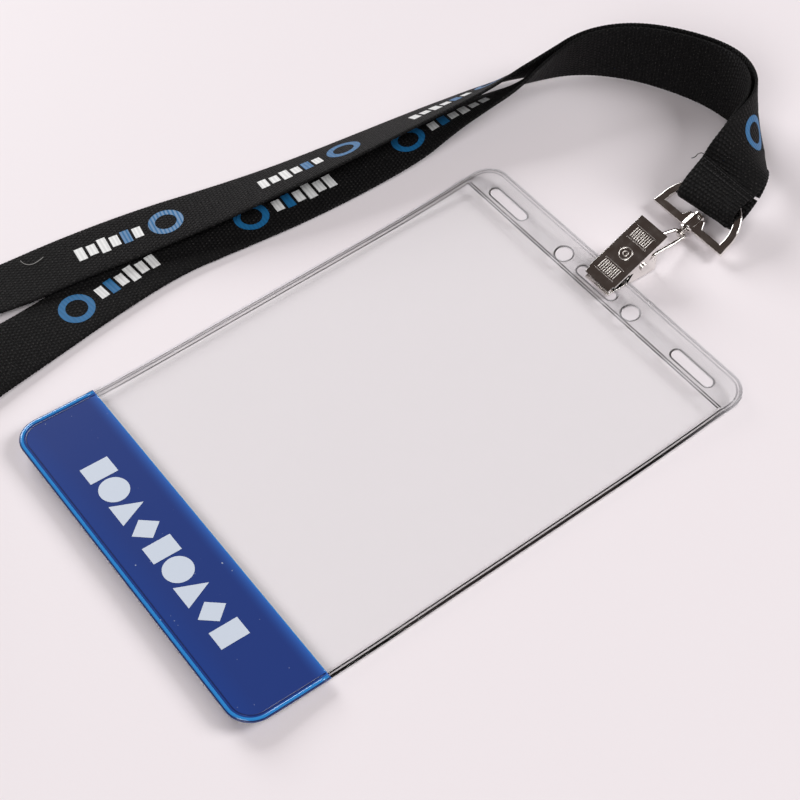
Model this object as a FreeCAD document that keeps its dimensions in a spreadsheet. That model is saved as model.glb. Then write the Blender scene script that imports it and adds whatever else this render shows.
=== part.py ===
import FreeCAD, Part
import math
import os

import Sketcher

# Lanyard badge holder: a welded clear pouch with a coloured foot band, held by a sprung clip.
# The clip's wire bail carries a swivel stud and a D-ring, and a sewn neck ribbon loops through it.
# Frame: X across the pouch, Y from the band towards the clip, Z up out of the pouch's front.
# The origin is on the table, under the middle of the pouch's flat back.

Vector = FreeCAD.Vector
Rotation = FreeCAD.Rotation
Placement = FreeCAD.Placement

doc = FreeCAD.newDocument("BadgeHolder")

SIZES = {
    # pouch
    "pouch_width": 114.0,
    "pouch_half": 83.5,          # half of the pouch's length
    "flat_half": 36.0,           # half of the stretch that lies flat
    "bend_radius": 470.0,        # gentle curl of both ends
    "corner_radius": 7.5,
    "film": 0.4,                 # thickness of each vinyl sheet
    "card_gap": 0.45,            # space for the card
    "weld_width": 2.2,
    "mouth_edge": 72.6,          # top edge of the front sheet
    "header_edge": 73.1,         # lower edge of the header strip
    "band_edge": -57.5,          # upper edge of the colour band
    "hole_row": 76.4,
    "slot_span": 15.4,
    "slot_wide": 3.0,
    "slot_place": 40.0,
    "punch_radius": 2.5,
    "punch_place": 14.5,
    # clip
    "plate": 0.6,                # sheet steel of both jaws
    "pin_radius": 0.75,
    "pin_bore": 0.8,
    "pin_head": 1.3,
    "pin_depth": 89.05,          # pin axis along Y
    "pin_height": 5.3,
    "upper_tilt": 22.8,
    "lower_tilt": -3.1,
    "upper_wide": 11.0,
    "upper_nose": 10.1,
    "lower_wide": 9.6,
    "upper_front": -12.5,
    "upper_rear": 10.5,
    "upper_top": 3.07,
    "lower_front": -12.6,
    "lower_rear": 5.6,
    "lower_top": -4.34,
    "ear_radius": 1.9,
    "lug_along": 4.55,           # bail pivot, from the pin
    "lug_drop": -0.4,
    "lug_radius": 1.4,
    "emboss": 0.15,
    "rib": 0.3,
    # bail, stud and ring
    "wire_radius": 0.6,
    "wire_bore": 0.65,
    "bail_half": 3.45,
    "bail_tip": 4.75,
    "apex_half": 1.8,
    "bend_wire": 1.0,
    "ring_depth": 110.9,         # outer edge of the ring's bar
    "ring_height": 2.4,
    "ring_tilt": 20.0,
    "ring_half": 14.0,
    "ring_tip": 14.4,
    "ring_wide": 2.4,
    "ring_thick": 1.6,
    "limb_end": 3.0,
    "boss_radius": 2.2,
    "boss_low": -0.3,
    "boss_high": 4.6,
    "stud_radius": 1.2,
    "stud_bore": 1.25,
    "stud_head": 1.9,
    "eye_place": -2.2,
    "eye_radius": 1.5,
    "eye_bore": 0.68,
    "eye_half": 0.6,
    # ribbon
    "ribbon_width": 20.0,
    "ribbon_thick": 0.9,
}

sheet = doc.addObject("Spreadsheet::Sheet", "Sizes")
for row, (alias, size) in enumerate(SIZES.items(), start=1):
    sheet.set("A%d" % row, alias)
    sheet.set("B%d" % row, str(size))
    sheet.setAlias("B%d" % row, alias)
doc.recompute()


def value(expression):
    """Number that an expression of the sheet's aliases gives."""
    return float(sheet.evalExpression(str(expression)))


def size(alias):
    return value("Sizes." + alias)


# ---------------------------------------------------------------- sketch helpers

def new_sketch(body, name, plane, lift=None):
    """Sketch on one of the body's own origin planes, lifted along its normal if asked."""
    sketch = body.newObject("Sketcher::SketchObject", name)
    support = [item for item in body.Origin.OriginFeatures if item.Role == plane][0]
    sketch.AttachmentSupport = [(support, "")]
    sketch.MapMode = "FlatFace"
    if lift:
        sketch.setExpression("AttachmentOffset.Base.z", lift)
    return sketch


def bind(sketch, kind, items, expression):
    """Add a dimension whose value is an expression."""
    index = sketch.addConstraint(Sketcher.Constraint(kind, *items, value(expression)))
    sketch.setExpression("Constraints[%d]" % index, expression)


def pin_point(sketch, edge, end, x, y):
    bind(sketch, "DistanceX", (-1, 1, edge, end), x)
    bind(sketch, "DistanceY", (-1, 1, edge, end), y)


def arc_between(start, end, radius):
    """Arc from start to end; a positive radius turns left, a negative one turns right."""
    first, last = (start, end) if radius > 0 else (end, start)
    reach = abs(radius)
    chord = last - first
    half = chord.Length / 2
    rise = math.sqrt(max(reach * reach - half * half, 0))
    centre = (first + last) / 2 + Vector(-chord.y, chord.x, 0) / chord.Length * rise
    angle_first = math.atan2(first.y - centre.y, first.x - centre.x)
    angle_last = math.atan2(last.y - centre.y, last.x - centre.x)
    circle = Part.Circle(centre, Vector(0, 0, 1), reach)
    return Part.ArcOfCircle(circle, angle_first, angle_last)


def outline(sketch, corners):
    """Closed loop; a corner is (x, y), or (x, y, radius) where an arc leaves it."""
    count = len(corners)
    places = [Vector(value(c[0]), value(c[1]), 0) for c in corners]
    ends = []
    for i, corner in enumerate(corners):
        start, end = places[i], places[(i + 1) % count]
        if len(corner) == 3:
            radius = value(corner[2])
            edge = sketch.addGeometry(arc_between(start, end, radius))
            ends.append((edge, 1, 2) if radius > 0 else (edge, 2, 1))
        else:
            edge = sketch.addGeometry(Part.LineSegment(start, end))
            ends.append((edge, 1, 2))
    for i, corner in enumerate(corners):
        edge, first, last = ends[i]
        following, next_first, _ = ends[(i + 1) % count]
        sketch.addConstraint(Sketcher.Constraint("Coincident", edge, last, following, next_first))
        pin_point(sketch, edge, first, corner[0], corner[1])
        if len(corner) == 3:
            bind(sketch, "Radius", (edge,), "abs(%s)" % corner[2])


def circle(sketch, x, y, radius):
    centre = Vector(value(x), value(y), 0)
    edge = sketch.addGeometry(Part.Circle(centre, Vector(0, 0, 1), value(radius)))
    pin_point(sketch, edge, 3, x, y)
    bind(sketch, "Radius", (edge,), radius)


def slot(sketch, x, y, span, wide):
    """Round-ended slot along X, centred on (x, y)."""
    half = "(%s) / 2" % wide
    reach = "((%s) - (%s)) / 2" % (span, wide)
    left, right = "(%s) - %s" % (x, reach), "(%s) + %s" % (x, reach)
    low, high = "(%s) - %s" % (y, half), "(%s) + %s" % (y, half)
    outline(sketch, [(left, low), (right, low, half), ("%s + %s" % (right, half), y, half),
                     (right, high), (left, high, half), ("%s - %s" % (left, half), y, half)])


# ---------------------------------------------------------------- feature helpers

def new_body(name):
    body = doc.addObject("PartDesign::Body", name)
    body.Label = name
    return body


def grow(body, kind, name, sketch, length):
    """Pad or pocket, symmetric about the sketch's plane."""
    feature = body.newObject("PartDesign::" + kind, name)
    feature.Profile = sketch
    feature.SideType = "Symmetric"
    feature.setExpression("Length", str(length))
    sketch.Visibility = False
    doc.recompute()
    return feature


def pocket_through(body, name, sketch, depth="60"):
    before = body.Shape.Volume
    feature = grow(body, "Pocket", name, sketch, depth)
    if "Invalid" in feature.State or body.Shape.Volume > before - 1e-6:
        raise RuntimeError(name + " removed nothing")
    return feature


def round_corners(body, ends):
    """Cut the pouch's outer corners to arcs at the given ends, "-" for the foot, "" for the head."""
    sketch = new_sketch(body, body.Name + "_corners", "XY_Plane")
    for end in ends:
        for side in ("-", ""):
            edge, inner = side + "Sizes.pouch_width / 2", side + "(Sizes.pouch_width / 2 - Sizes.corner_radius)"
            head, start = end + "Sizes.pouch_half", end + "(Sizes.pouch_half - Sizes.corner_radius)"
            beyond, out = end + "(Sizes.pouch_half + 1)", side + "(Sizes.pouch_width / 2 + 1)"
            turn = "" if (side == end) else "-"
            outline(sketch, [(edge, start, turn + "Sizes.corner_radius"), (inner, head),
                             (inner, beyond), (out, beyond), (out, start)])
    pocket_through(body, body.Name + "_corner_cut", sketch)


# ---------------------------------------------------------------- pouch

def height_at(along, level):
    """Height of the curled sheet at a place beyond the flat stretch, level above its back."""
    return ("Sizes.bend_radius - sqrt((Sizes.bend_radius - (%s))^2"
            " - (abs(%s) - Sizes.flat_half)^2)" % (level, along))


def layer_profile(sketch, low, high, under, over):
    """Side profile of one sheet from low to high along Y, between two levels."""
    flat = "Sizes.flat_half"
    stops = [low]
    if value(low) < -size("flat_half") < value(high):
        stops.append("-" + flat)
    if value(low) < size("flat_half") < value(high):
        stops.append(flat)
    stops.append(high)

    def corner(place, level, following, turn):
        ends = (value(place), value(following))
        if place.lstrip("-") == flat:
            spot = (place, level)
        else:
            spot = (place, height_at(place, level))
        curved = max(ends) > size("flat_half") + 0.01 or min(ends) < -size("flat_half") - 0.01
        if curved:
            return spot + ("%s(Sizes.bend_radius - (%s))" % (turn, level),)
        return spot

    path = [corner(stops[i], under, stops[i + 1], "") for i in range(len(stops) - 1)]
    path.append((high, height_at(high, under)))
    back = stops[::-1]
    path += [corner(back[i], over, back[i + 1], "-") for i in range(len(back) - 1)]
    path.append((low, height_at(low, over)))
    outline(sketch, path)


def sheet_body(name, low, high, under, over, ends):
    body = new_body(name)
    sketch = new_sketch(body, name + "_side", "YZ_Plane")
    layer_profile(sketch, low, high, under, over)
    grow(body, "Pad", name + "_pad", sketch, "Sizes.pouch_width")
    round_corners(body, ends)
    return body


def punch(body, name):
    """Two strap slots, a clip slot and two round holes through the header."""
    sketch = new_sketch(body, name, "XY_Plane")
    for place in ("-Sizes.slot_place", "0 * Sizes.slot_place", "Sizes.slot_place"):
        slot(sketch, place, "Sizes.hole_row", "Sizes.slot_span", "Sizes.slot_wide")
    for place in ("-Sizes.punch_place", "Sizes.punch_place"):
        circle(sketch, place, "Sizes.hole_row", "Sizes.punch_radius")
    pocket_through(body, name + "_cut", sketch)


FOOT = "-Sizes.pouch_half"
HEAD = "Sizes.pouch_half"
LEVEL_BACK = "Sizes.film"
LEVEL_CAVITY = "Sizes.film + Sizes.card_gap"
LEVEL_FRONT = "2 * Sizes.film + Sizes.card_gap"

back_sheet = sheet_body("back_sheet", FOOT, HEAD, "0 * Sizes.film", LEVEL_BACK, ("-", ""))
punch(back_sheet, "back_punch")

header_strip = sheet_body("header_strip", "Sizes.header_edge", HEAD, LEVEL_BACK,
                          "2 * Sizes.film", ("",))
punch(header_strip, "header_punch")

front_sheet = sheet_body("front_sheet", FOOT, "Sizes.mouth_edge", LEVEL_BACK, LEVEL_FRONT, ("-",))
cavity = new_sketch(front_sheet, "card_space", "YZ_Plane")
layer_profile(cavity, FOOT + " + Sizes.weld_width", "Sizes.mouth_edge + 1",
              "Sizes.film - 0.1", LEVEL_CAVITY)
grow(front_sheet, "Pocket", "card_space_cut", cavity, "Sizes.pouch_width - 2 * Sizes.weld_width")

colour_band = sheet_body("colour_band", FOOT, "Sizes.band_edge", LEVEL_FRONT,
                         "3 * Sizes.film + Sizes.card_gap", ("-",))

# ---------------------------------------------------------------- clip

PIN = ("Sizes.pin_depth", "Sizes.pin_height")


def tilt_in_place(item, along, up, tilt):
    """Put an object's own origin at (0, along, up), turned about X by tilt degrees."""
    item.Placement = Placement(Vector(0, value(along), value(up)), Rotation(Vector(1, 0, 0), value(tilt)))
    item.setExpression("Placement.Base.y", along)
    item.setExpression("Placement.Base.z", up)
    item.setExpression("Placement.Rotation.Angle", tilt)


def pin_holes(body, name, along, up, radius):
    sketch = new_sketch(body, name, "YZ_Plane")
    circle(sketch, along, up, radius)
    pocket_through(body, name + "_cut", sketch)


upper_jaw = new_body("upper_jaw")
under = "Sizes.upper_top - Sizes.plate"
tooth = "Sizes.upper_top - Sizes.plate - 0.55"
side = new_sketch(upper_jaw, "upper_side", "YZ_Plane")
outline(side, [("Sizes.upper_front", tooth), ("Sizes.upper_front + Sizes.plate", tooth),
               ("Sizes.upper_front + Sizes.plate", under), ("Sizes.upper_rear", under),
               ("Sizes.upper_rear", "Sizes.upper_top"), ("Sizes.upper_front", "Sizes.upper_top")])
grow(upper_jaw, "Pad", "upper_plate", side, "Sizes.upper_wide")
ears = new_sketch(upper_jaw, "upper_ears", "YZ_Plane")
outline(ears, [("-5.6", "Sizes.upper_top - 0.3"), ("-Sizes.ear_radius", "0", "Sizes.ear_radius"),
               ("0", "-Sizes.ear_radius", "Sizes.ear_radius"), ("Sizes.ear_radius", "0"),
               ("5.2", "Sizes.upper_top - 0.3")])
grow(upper_jaw, "Pad", "upper_ear_block", ears, "Sizes.upper_wide")
inside = new_sketch(upper_jaw, "upper_inside", "YZ_Plane")
outline(inside, [("-7", "-3"), ("7", "-3"), ("7", under), ("-7", under)])
grow(upper_jaw, "Pocket", "upper_hollow", inside, "Sizes.upper_wide - 2 * Sizes.plate")
pin_holes(upper_jaw, "upper_pin_hole", "0", "0", "Sizes.pin_bore")
nose = new_sketch(upper_jaw, "upper_nose_corners", "XY_Plane")
for mirror in ("", "-"):
    inner, outer = mirror + "Sizes.upper_nose / 2", mirror + "(Sizes.upper_wide / 2 + 1)"
    outline(nose, [(inner, "Sizes.upper_front - 1"), (outer, "Sizes.upper_front - 1"),
                   (outer, "Sizes.upper_front + 1.9"), (inner, "Sizes.upper_front + 1.9")])
pocket_through(upper_jaw, "upper_nose_cut", nose)

press = new_sketch(upper_jaw, "upper_press_marks", "XY_Plane", "Sizes.upper_top")
RIB_STEP = 0.8
RIB_LONG = 3.4
BAR_LONG = 7.6
PANELS = (-7.4, 5.3)


def press_rectangle(x, y, wide, long):
    outline(press, [("%g - %g" % (x, wide / 2), "%g - %g" % (y, long / 2)),
                    ("%g + %g" % (x, wide / 2), "%g - %g" % (y, long / 2)),
                    ("%g + %g" % (x, wide / 2), "%g + %g" % (y, long / 2)),
                    ("%g - %g" % (x, wide / 2), "%g + %g" % (y, long / 2))])


for panel in PANELS:
    for step in range(-4, 5):
        press_rectangle(step * RIB_STEP, panel, size("rib"), RIB_LONG)
    for end in (-1, 1):
        press_rectangle(0, panel + end * (RIB_LONG / 2 + 0.5), BAR_LONG, size("rib"))
RING_MARK = sum(PANELS) / 2
circle(press, "0", str(RING_MARK), "2.1")
circle(press, "0", str(RING_MARK), "2.1 - Sizes.rib")
marks = upper_jaw.newObject("PartDesign::Pad", "upper_emboss")
marks.Profile = press
marks.setExpression("Length", "Sizes.emboss")
doc.recompute()
tilt_in_place(upper_jaw, *PIN, "Sizes.upper_tilt")

lower_jaw = new_body("lower_jaw")
floor = "Sizes.lower_top - Sizes.plate"
side = new_sketch(lower_jaw, "lower_side", "YZ_Plane")
outline(side, [("Sizes.lower_front", floor), ("Sizes.lower_rear", floor),
               ("Sizes.lower_rear", "Sizes.lower_top"), ("Sizes.lower_front", "Sizes.lower_top")])
grow(lower_jaw, "Pad", "lower_plate", side, "Sizes.lower_wide")
ears = new_sketch(lower_jaw, "lower_ears", "YZ_Plane")
outline(ears, [("-5.2", floor + " + 0.2"), ("Sizes.lower_rear", floor + " + 0.2"),
               ("Sizes.lug_along + Sizes.lug_radius", "Sizes.lug_drop", "Sizes.lug_radius"),
               ("Sizes.lug_along", "Sizes.lug_drop + Sizes.lug_radius"),
               ("Sizes.ear_radius", "0", "Sizes.ear_radius"),
               ("0", "Sizes.ear_radius", "Sizes.ear_radius"), ("-Sizes.ear_radius", "0")])
grow(lower_jaw, "Pad", "lower_ear_block", ears, "Sizes.lower_wide")
inside = new_sketch(lower_jaw, "lower_inside", "YZ_Plane")
outline(inside, [("-7", "Sizes.lower_top"), ("7", "Sizes.lower_top"), ("7", "3"), ("-7", "3")])
grow(lower_jaw, "Pocket", "lower_hollow", inside, "Sizes.lower_wide - 2 * Sizes.plate")
pin_holes(lower_jaw, "lower_pin_hole", "0", "0", "Sizes.pin_bore")
pin_holes(lower_jaw, "lower_bail_hole", "Sizes.lug_along", "Sizes.lug_drop", "Sizes.wire_bore")
tilt_in_place(lower_jaw, *PIN, "Sizes.lower_tilt")


def cylinder(name, radius, start, length):
    """Cylinder along X through the pin's axis."""
    item = doc.addObject("Part::Cylinder", name)
    item.setExpression("Radius", radius)
    item.setExpression("Height", length)
    item.Placement = Placement(Vector(value(start), 0, 0), Rotation(Vector(0, 1, 0), 90))
    item.setExpression("Placement.Base.x", start)
    return item


HEAD_GAP = "Sizes.upper_wide / 2 + 0.05"
shank = cylinder("pin_shank", "Sizes.pin_radius", "-(%s) - 0.4" % HEAD_GAP, "2 * (%s) + 0.8" % HEAD_GAP)
left_head = cylinder("pin_left_head", "Sizes.pin_head", "-(%s) - 0.5" % HEAD_GAP, "0.5")
right_head = cylinder("pin_right_head", "Sizes.pin_head", HEAD_GAP, "0.5")
hinge_pin = doc.addObject("Part::MultiFuse", "hinge_pin")
hinge_pin.Label = "hinge_pin"
hinge_pin.Shapes = [shank, left_head, right_head]
tilt_in_place(hinge_pin, *PIN, "0")

# ---------------------------------------------------------------- wire parts


def rounded_path(points, radius):
    """Wire through the points, each inner corner rounded to the radius."""
    edges = []
    start = points[0]
    for before, corner, after in zip(points, points[1:], points[2:]):
        into = (before - corner).normalize()
        out = (after - corner).normalize()
        turn = math.pi - into.getAngle(out)
        setback = radius * math.tan(turn / 2)
        first, last = corner + into * setback, corner + out * setback
        bisector = (into + out).normalize()
        middle = corner + bisector * (radius / math.cos(turn / 2) - radius)
        edges.append(Part.LineSegment(start, first).toShape())
        edges.append(Part.Arc(first, middle, last).toShape())
        start = last
    edges.append(Part.LineSegment(start, points[-1]).toShape())
    return Part.Wire(edges)


def swept_wire(path, radius):
    """Round wire of the radius along a path."""
    first = path.OrderedEdges[0]
    start = first.valueAt(first.FirstParameter)
    ahead = first.tangentAt(first.FirstParameter)
    profile = Part.Wire(Part.Circle(start, ahead, radius).toShape())
    return path.makePipeShell([profile], True, False)


def add_feature(name, shape, place=None):
    item = doc.addObject("Part::Feature", name)
    item.Label = name
    item.Shape = shape
    if place:
        item.Placement = place
    return item


lower_turn = Rotation(Vector(1, 0, 0), size("lower_tilt"))
pin_centre = Vector(0, size("pin_depth"), size("pin_height"))
bail_pivot = pin_centre + lower_turn.multVec(Vector(0, size("lug_along"), size("lug_drop")))
ring_turn = Rotation(Vector(1, 0, 0), size("ring_tilt"))
ring_origin = Vector(0, size("ring_depth"), size("ring_height"))
eye_centre = ring_origin + ring_turn.multVec(Vector(0, size("eye_place"), 0))
bail_reach = eye_centre - bail_pivot
print("bail pivot", bail_pivot, "eye", eye_centre, "reach %.2f" % bail_reach.Length)
bail_path = rounded_path([Vector(size("bail_tip"), 0, 0), Vector(size("bail_half"), 0, 0),
                          Vector(size("apex_half"), bail_reach.Length, 0),
                          Vector(-size("apex_half"), bail_reach.Length, 0),
                          Vector(-size("bail_half"), 0, 0), Vector(-size("bail_tip"), 0, 0)],
                         size("bend_wire"))
bail_tilt = math.degrees(math.atan2(bail_reach.z, bail_reach.y))
wire_bail = add_feature("wire_bail", swept_wire(bail_path, size("wire_radius")),
                        Placement(bail_pivot, Rotation(Vector(1, 0, 0), bail_tilt)))

SPRING_WIRE = 0.3
SPRING_RADIUS = 1.6
SPRING_PITCH = 0.75
SPRING_TURNS = 6


def torsion_spring():
    """Coil about the pin with two straight legs that reach back between the jaws."""
    height = SPRING_PITCH * SPRING_TURNS
    helix = Part.makeHelix(SPRING_PITCH, height, SPRING_RADIUS)
    coil = swept_wire(helix, SPRING_WIRE)
    coil.rotate(Vector(0, 0, 0), Vector(0, 1, 0), 90)
    coil.translate(Vector(-height / 2, 0, 0))
    coil.rotate(Vector(0, 0, 0), Vector(1, 0, 0), 180)
    shapes = [coil]
    for end, x in ((-0.45, -height / 2), (0.1, height / 2)):
        start = Vector(x, 0, 1.0 * SPRING_RADIUS)
        legs = Part.makeCylinder(SPRING_WIRE, 4.2, start, Vector(0, 1, end))
        shapes.append(legs)
    return shapes[0].fuse(shapes[1:])


spring = add_feature("torsion_spring", torsion_spring(), Placement(pin_centre, Rotation()))

# ---------------------------------------------------------------- swivel stud and D-ring

swivel_stud = new_body("swivel_stud")
turned = new_sketch(swivel_stud, "stud_profile", "XY_Plane")
collar = "Sizes.boss_low - 0.05"
outline(turned, [("0", "Sizes.boss_low - 1.0"), ("0.9", "Sizes.boss_low - 1.0"),
                 ("0.9", collar + " - 0.5"), ("Sizes.stud_head", collar + " - 0.5"),
                 ("Sizes.stud_head", collar), ("Sizes.stud_radius", collar),
                 ("Sizes.stud_radius", "Sizes.boss_high + 0.05"),
                 ("Sizes.stud_head", "Sizes.boss_high + 0.05"),
                 ("Sizes.stud_head", "Sizes.boss_high + 0.8"), ("0", "Sizes.boss_high + 0.8")])
shaft = swivel_stud.newObject("PartDesign::Revolution", "stud_shaft")
shaft.Profile = turned
shaft.ReferenceAxis = (turned, ["V_Axis"])
shaft.Angle = 360
doc.recompute()
eye = new_sketch(swivel_stud, "stud_eye", "YZ_Plane")
circle(eye, "Sizes.eye_place", "0", "Sizes.eye_radius")
grow(swivel_stud, "Pad", "eye_plate", eye, "2 * Sizes.eye_half")
pin_holes(swivel_stud, "eye_hole", "Sizes.eye_place", "0", "Sizes.eye_bore")
tilt_in_place(swivel_stud, "Sizes.ring_depth", "Sizes.ring_height", "Sizes.ring_tilt")

d_ring = new_body("d_ring")
flat = new_sketch(d_ring, "ring_outline", "XY_Plane")
outline(flat, [("-Sizes.ring_tip", "0"), ("Sizes.ring_tip", "0"),
               ("Sizes.ring_half", "Sizes.limb_end", "Sizes.ring_half"),
               ("0", "Sizes.limb_end + Sizes.ring_half", "Sizes.ring_half"),
               ("-Sizes.ring_half", "Sizes.limb_end")])
gap = "Sizes.ring_half - Sizes.ring_wide"
outline(flat, [("-(%s)" % gap, "Sizes.ring_wide"), (gap, "Sizes.ring_wide"),
               (gap, "Sizes.limb_end", gap), ("0", "Sizes.limb_end + " + gap, gap),
               ("-(%s)" % gap, "Sizes.limb_end")])
grow(d_ring, "Pad", "ring_plate", flat, "Sizes.ring_thick")
lobe = new_sketch(d_ring, "ring_lobe", "XY_Plane")
outline(lobe, [("-4.8", "0"), ("4.8", "0"), ("4.8", "1.6"), ("3.0", "Sizes.boss_high"),
               ("-3.0", "Sizes.boss_high"), ("-4.8", "1.6")])
grow(d_ring, "Pad", "ring_shoulders", lobe, "Sizes.ring_thick")
soften = d_ring.newObject("PartDesign::Fillet", "ring_edges")
plate_tip = doc.getObject("ring_shoulders")
flat_edges = ["Edge%d" % number for number, edge in enumerate(plate_tip.Shape.Edges, start=1)
              if abs(abs(edge.CenterOfMass.z) - size("ring_thick") / 2) < 0.01]
soften.Base = (plate_tip, flat_edges)
soften.Radius = 0.35
doc.recompute()
barrel = new_sketch(d_ring, "boss_profile", "XY_Plane")
outline(barrel, [("0", "Sizes.boss_low"), ("Sizes.boss_radius - 0.4", "Sizes.boss_low"),
                 ("Sizes.boss_radius", "Sizes.boss_low + 0.5"),
                 ("Sizes.boss_radius", "Sizes.boss_high - 0.5"),
                 ("Sizes.boss_radius - 0.4", "Sizes.boss_high"), ("0", "Sizes.boss_high")])
boss = d_ring.newObject("PartDesign::Revolution", "ring_boss")
boss.Profile = barrel
boss.ReferenceAxis = (barrel, ["V_Axis"])
boss.Angle = 360
doc.recompute()
bore = new_sketch(d_ring, "boss_bore", "XZ_Plane")
circle(bore, "0", "0", "Sizes.stud_bore")
pocket_through(d_ring, "boss_bore_cut", bore)
tilt_in_place(d_ring, "Sizes.ring_depth", "Sizes.ring_height", "Sizes.ring_tilt")

# ---------------------------------------------------------------- ribbon

# Each point is (x, y, z, lean): the ribbon's middle line, and how far its left edge, seen along
# the route from the clip, is tipped up out of the flat in degrees.
FAR_ROUTE = [
    (-1.1, 125.0, 9.8, 1), (-1.8, 128.6, 11.5, 6), (-3.3, 134.0, 13.9, 28),
    (-6.9, 141.1, 14.0, 54), (-12.2, 150.0, 12.8, 75),
    (-21.8, 157.2, 10.9, 94), (-35.4, 159.0, 9.9, 109), (-50.2, 153.0, 10.0, 105),
    (-63.3, 143.4, 10.4, 96), (-72.4, 130.1, 10.7, 78), (-75.6, 115.1, 10.2, 58),
    (-78.6, 104.0, 8.8, 46), (-80.2, 91.0, 8.0, 39), (-82.4, 77.0, 7.4, 35),
    (-85.4, 54.0, 6.4, 29), (-88.8, 30.0, 5.4, 23), (-93.4, 8.0, 3.9, 14),
    (-98.9, -13.7, 2.6, 5), (-103.2, -38.0, 2.4, 4), (-105.6, -60.0, 2.1, 4),
    (-110.0, -86.0, 4.6, 20), (-117.0, -108.0, 8.7, 52), (-131.0, -130.0, 10.7, 84),
    (-137.0, -156.0, 10.7, 90), (-127.0, -182.0, 10.7, 90), (-109.0, -194.0, 10.7, 90),
    (-97.0, -194.0, 10.7, 90)]
NEAR_ROUTE = [
    (-2.3, 129.4, 6.6, 4), (-3.9, 134.5, 12.2, 26), (-7.8, 140.6, 13.2, 54),
    (-13.7, 148.6, 12.3, 76), (-23.0, 154.0, 11.5, 100), (-35.0, 155.5, 10.8, 115),
    (-49.0, 150.5, 10.4, 107), (-62.0, 142.0, 10.5, 96), (-71.0, 129.5, 10.4, 78),
    (-74.0, 115.0, 9.2, 58), (-74.5, 103.0, 7.5, 41), (-77.0, 91.0, 5.7, 30),
    (-79.2, 80.5, 3.9, 19), (-80.8, 69.5, 1.8, 5), (-82.0, 49.0, 0.9, 0),
    (-83.3, 26.0, 0.9, 0), (-86.2, 5.0, 0.9, 0), (-88.8, -14.0, 0.9, 0),
    (-87.2, -37.0, 0.9, 0), (-84.2, -61.0, 1.5, -4), (-80.0, -88.0, 4.8, -20),
    (-71.0, -110.0, 8.6, -52), (-61.0, -131.0, 10.7, -84), (-57.0, -156.0, 10.7, -90),
    (-67.0, -182.0, 10.7, -90), (-85.0, -194.0, 10.7, -90), (-97.0, -194.0, 10.7, -90)]
# The sewn end: from the flap over the ring's bow, round the fold and back under the bow. Its
# width is carried towards +X all the way, so the same lean changes sign at the fold.
LOOP_ROUTE = [
    (-1.4, 127.6, 12.6, -9), (-1.3, 124.0, 11.0, -3), (-0.95, 119.7, 8.7, 0), (-0.65, 117.3, 5.2, 0),
    (-0.95, 119.7, 2.3, 0), (-1.4, 125.0, 3.1, 0), (-2.3, 129.4, 6.6, 4)]
ARC_STEP = math.radians(12)


def width_direction(ahead, lean, towards=None):
    """Direction from one edge of the ribbon to the other, and the face's normal."""
    left = Vector(0, 0, 1).cross(ahead)
    left = left.normalize() if left.Length > 1e-6 else Vector(1, 0, 0)
    above = ahead.cross(left)
    angle = math.radians(lean)
    wide = left * math.cos(angle) + above * math.sin(angle)
    if towards and wide.dot(towards) < 0:
        wide = wide * -1
    return wide, ahead.cross(wide)


def stations(route, share):
    """Places along straight runs and tangent arcs: (place, direction, lean), and the arc radii."""
    points = [Vector(*entry[:3]) for entry in route]
    leans = [entry[3] for entry in route]
    first_ahead = (points[1] - points[0]).normalize()
    found = [(points[0], first_ahead, leans[0])]
    radii = []
    for i in range(1, len(points) - 1):
        before, corner, after = points[i - 1], points[i], points[i + 1]
        into, out = (corner - before), (after - corner)
        setback = share * min(into.Length, out.Length)
        lean_in = leans[i] + (leans[i - 1] - leans[i]) * setback / into.Length
        lean_out = leans[i] + (leans[i + 1] - leans[i]) * setback / out.Length
        into.normalize()
        out.normalize()
        turn = into.getAngle(out)
        radius = setback / math.tan(turn / 2)
        radii.append(radius)
        steps = max(1, math.ceil(turn / ARC_STEP))
        axis = into.cross(out).normalize()
        centre = corner - into * setback + axis.cross(into) * radius
        spoke = (corner - into * setback) - centre
        for k in range(steps + 1):
            part = k / steps
            swing = Rotation(axis, math.degrees(turn * part))
            ahead = swing.multVec(into)
            lean = lean_in + (lean_out - lean_in) * part
            found.append((centre + swing.multVec(spoke), ahead, lean))
    last_ahead = (points[-1] - points[-2]).normalize()
    found.append((points[-1], last_ahead, leans[-1]))
    return found, radii


def ribbon_solid(name, route, towards=None, share=0.45):
    """Flat ribbon whose section is carried, and tipped, along the route."""
    half_wide = size("ribbon_width") / 2
    half_thick = size("ribbon_thick") / 2
    found, radii = stations(route, share)
    sections = []
    length = 0
    for i, (place, ahead, lean) in enumerate(found):
        wide, normal = width_direction(ahead, lean, towards)
        corners = [place + wide * (a * half_wide) + normal * (b * half_thick)
                   for a, b in ((-1, -1), (1, -1), (1, 1), (-1, 1))]
        sections.append(Part.makePolygon(corners + corners[:1]))
        if i:
            length += (place - found[i - 1][0]).Length
    solid = Part.makeLoft(sections, True, True)
    full = length * 4 * half_wide * half_thick
    print("%s: length %.1f, volume %.0f of %.0f, radii %s" % (
        name, length, solid.Volume, full, " ".join("%.0f" % r for r in radii)))
    return solid


far_strand = add_feature("far_strand", ribbon_solid("far_strand", FAR_ROUTE))
near_strand = add_feature("near_strand", ribbon_solid("near_strand", NEAR_ROUTE))
sewn_end = add_feature("sewn_end", ribbon_solid("sewn_end", LOOP_ROUTE, Vector(1, 0, 0)))

STITCHES = 11
STITCH_LONG = 1.2
STITCH_THICK = 0.3


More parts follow.
